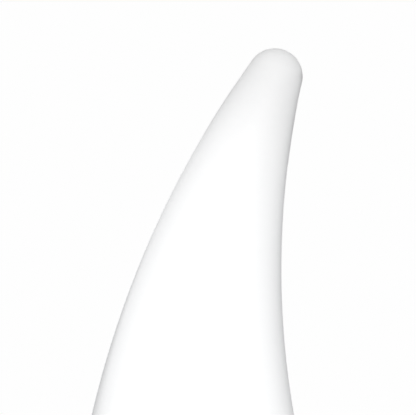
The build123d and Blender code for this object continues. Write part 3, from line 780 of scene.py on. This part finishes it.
opal = grained(
    "opal_plastic", colour=(0.94, 0.94, 0.942), metallic=0,
    gloss=(0.32, 0.42), grain=1200, relief=0.0000006, tone=0.99,
)
nodes, links = opal.node_tree.nodes, opal.node_tree.links
shader = nodes["Principled BSDF"]
shader.inputs["IOR"].default_value = 1.49
shader.inputs["Coat Weight"].default_value = 0.8
shader.inputs["Coat Roughness"].default_value = 0.26
shader.inputs["Coat IOR"].default_value = 1.55
shader.inputs["Subsurface Weight"].default_value = 0.35
shader.inputs["Subsurface Radius"].default_value = (1.0, 1.0, 1.0)
shader.inputs["Subsurface Scale"].default_value = 0.002
# painted glow: emission that is none at the tip and grows with distance from it, in place of the LEDs'
# light through the shell
coordinates = nodes.new("ShaderNodeTexCoord")
tip_distance = nodes.new("ShaderNodeVectorMath")
tip_distance.operation = "DISTANCE"
tip_distance.inputs[1].default_value = horn_centre(dome_start)
links.new(coordinates.outputs["Object"], tip_distance.inputs[0])
painted_glow_share = nodes.new("ShaderNodeMapRange")
painted_glow_share.inputs["From Max"].default_value = painted_glow_reach
links.new(tip_distance.outputs["Value"], painted_glow_share.inputs["Value"])
painted_glow_tone = nodes.new("ShaderNodeValToRGB")
painted_glow_tone.color_ramp.interpolation = "B_SPLINE"
painted_glow_tone.color_ramp.elements[0].color = (0.0, 0.0, 0.0, 1)
painted_glow_tone.color_ramp.elements[0].position = 0.03
painted_glow_tone.color_ramp.elements[1].color = (0.97, 0.99, 1.0, 1)
for place, level in ((0.20, 0.50), (0.40, 0.76), (0.65, 0.92)):
    stop = painted_glow_tone.color_ramp.elements.new(place)
    stop.color = (0.965 * level, 0.985 * level, level, 1)
links.new(painted_glow_share.outputs["Result"], painted_glow_tone.inputs[0])
links.new(painted_glow_tone.outputs["Color"], shader.inputs["Emission Color"])
shader.inputs["Emission Strength"].default_value = 0.26
icicle.data.materials.append(opal)

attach(icicle, "icicle")
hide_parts("diffuser_shell")

# ---- Studio -------------------------------------------------------------------------------------
# Wide pale floor far under the ornament, three softboxes that the camera doesn't see, and a white
# tent whose reflection is dark at the horizon, which draws the shell's thin grey outline.

floor_radius = 8.0
floor_drop = 0.8

bpy.ops.object.select_all(action="DESELECT")
bpy.ops.mesh.primitive_circle_add(
    vertices=96, radius=floor_radius, fill_type="NGON", location=(0, 0, icicle_low.z - floor_drop)
)
floor = bpy.context.object
floor.name = "floor"
pale = bpy.data.materials.new("pale_floor")
pale.use_nodes = True
shader = pale.node_tree.nodes["Principled BSDF"]
shader.inputs["Base Color"].default_value = (0.86, 0.86, 0.86, 1)
shader.inputs["Roughness"].default_value = 0.9
shader.inputs["Emission Color"].default_value = (1, 1, 1, 1)
shader.inputs["Emission Strength"].default_value = 0.14
floor.data.materials.append(pale)


def softbox(name, place, aim, size, power):
    """Area light at a place, turned to face a point."""
    bpy.ops.object.light_add(type="AREA", location=place)
    lamp = bpy.context.object
    lamp.name = name
    lamp.data.size = size
    lamp.data.energy = power
    lamp.rotation_euler = (Vector(aim) - Vector(place)).to_track_quat("-Z", "Y").to_euler()
    lamp.visible_camera = False


middle = Vector((-0.003, 0, -0.09))
softbox("front_softbox", place=(0.03, -0.90, 0.0), aim=middle, size=0.6, power=3.4)
softbox("top_softbox", place=(0.1, 0.1, 0.75), aim=middle, size=0.6, power=0.5)
softbox("rear_softbox", place=(-0.15, 0.75, 0.6), aim=middle, size=0.4, power=1.6)

world = bpy.data.worlds.new("studio")
bpy.context.scene.world = world
world.use_nodes = True
world.cycles.sampling_method = "NONE"
nodes, links = world.node_tree.nodes, world.node_tree.links
background = nodes["Background"]
direction = nodes.new("ShaderNodeTexCoord")
upwards = nodes.new("ShaderNodeSeparateXYZ")
links.new(direction.outputs["Generated"], upwards.inputs[0])
tent = nodes.new("ShaderNodeMapRange")
tent.inputs["From Min"].default_value = -1
links.new(upwards.outputs["Z"], tent.inputs["Value"])
tent_tone = nodes.new("ShaderNodeValToRGB")
tent_tone.color_ramp.elements[0].color = (0.22, 0.22, 0.22, 1)
tent_tone.color_ramp.elements[0].position = 0.2
tent_tone.color_ramp.elements[1].color = (1.0, 1.0, 1.0, 1)
tent_tone.color_ramp.elements[1].position = 0.9
horizon = tent_tone.color_ramp.elements.new(0.5)
horizon.color = (0.15, 0.15, 0.155, 1)
links.new(tent.outputs["Result"], tent_tone.inputs[0])
path = nodes.new("ShaderNodeLightPath")
soft = nodes.new("ShaderNodeMix")
soft.data_type = "RGBA"
soft.inputs[6].default_value = (0.56, 0.56, 0.56, 1)
links.new(path.outputs["Is Glossy Ray"], soft.inputs[0])
links.new(tent_tone.outputs["Color"], soft.inputs[7])
sky = nodes.new("ShaderNodeMix")
sky.data_type = "RGBA"
sky.inputs[7].default_value = (0.991, 0.991, 0.991, 1)
links.new(path.outputs["Is Camera Ray"], sky.inputs[0])
links.new(soft.outputs[2], sky.inputs[6])
links.new(sky.outputs[2], background.inputs["Color"])
bpy.context.scene.view_settings.view_transform = "Standard"
